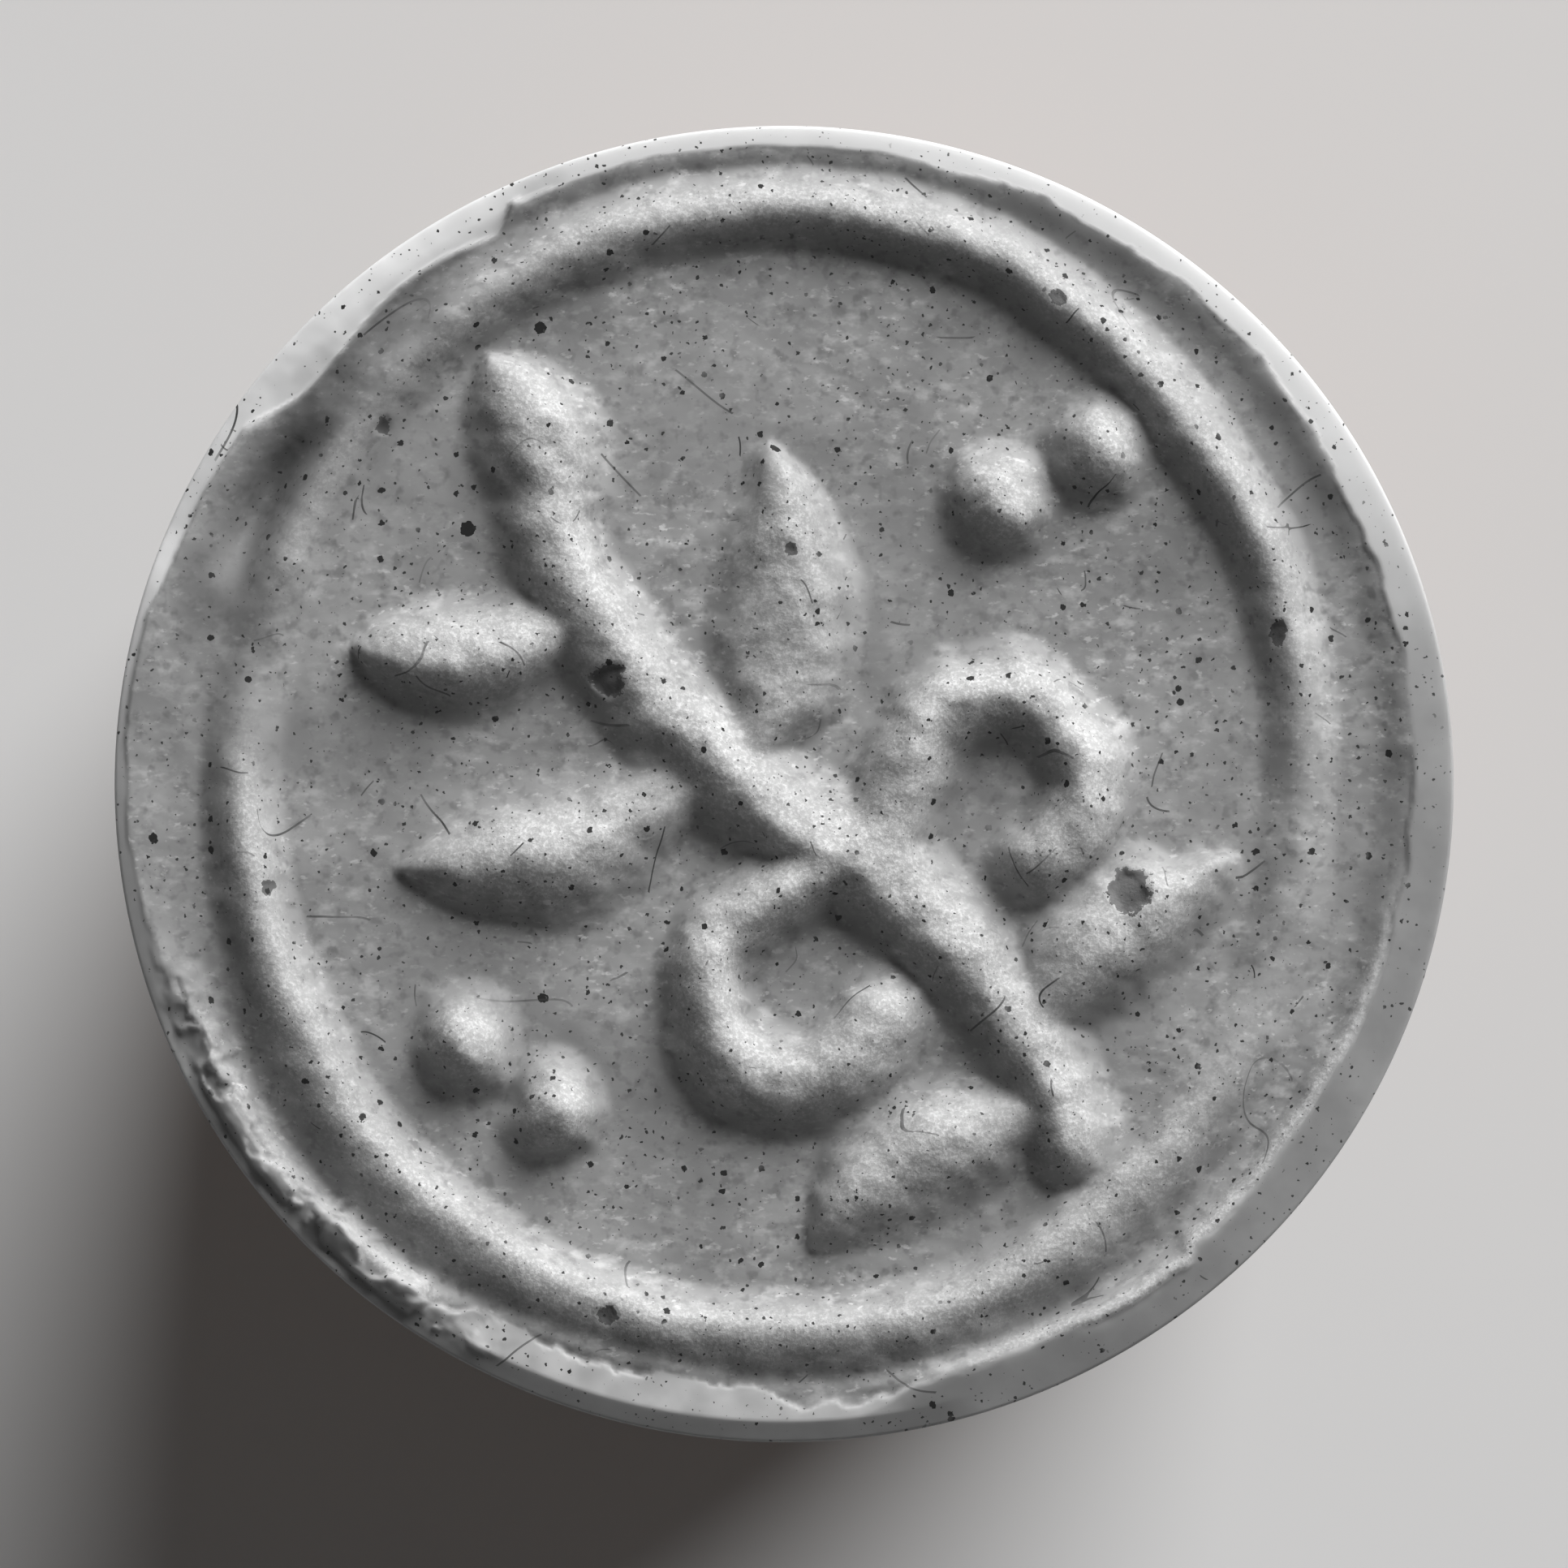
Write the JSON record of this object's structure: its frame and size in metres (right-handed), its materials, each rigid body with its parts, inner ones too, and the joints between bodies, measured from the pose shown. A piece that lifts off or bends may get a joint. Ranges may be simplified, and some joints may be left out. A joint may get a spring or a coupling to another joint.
{
  "type": "wax seal stamp",
  "caption": "Small seal stamp: a pale cast relief face bedded in a grooved metal head, which unscrews from a turned wooden handle with a pinned ferrule. It stands on its handle's foot.",
  "frame": {"origin": "centre of the handle's foot, the flat face that the stamp stands on", "axes": "+Z along the stamp's axis from the foot to the cast face, +X to the right and +Y to the top of the face as pictured"},
  "size_m": [0.013, 0.013, 0.0564],
  "materials": {
    "cast": "pale neutral cast, matt, unglazed, faintly granular",
    "bedding": "set bonding paste",
    "brass": "turned, satin",
    "steel": "plain threaded steel",
    "leather": "dark cut leather",
    "wood": "oiled hardwood, grain along the handle"
  },
  "bodies": {
    "handle_body": {"handle": "wood", "ferrule": "brass", "ferrule_pins": "brass", "threaded_insert": "brass"},
    "washer_body": {"washer": "leather"},
    "head_body": {"head_cup": "brass", "head_stud": "steel", "grub_screw": "steel", "bedding": "bedding", "cast_face": "cast"}
  },
  "joints": [
    {"name": "washer_lift", "type": "slide", "parent": "handle_body", "child": "washer_body", "axis": [0, 0, 1], "range_m": [0, 0.007]},
    {"name": "head_unscrew", "type": "hinge", "parent": "washer_body", "child": "head_body", "pos_m": [0, 0, 0.0466], "axis": [0, 0, 1], "range_deg": [0, 3600]}
  ],
  "couplings": [
    {"joint": "head_unscrew", "follows": "washer_lift", "rad_per_m": 8975.9}
  ]
}
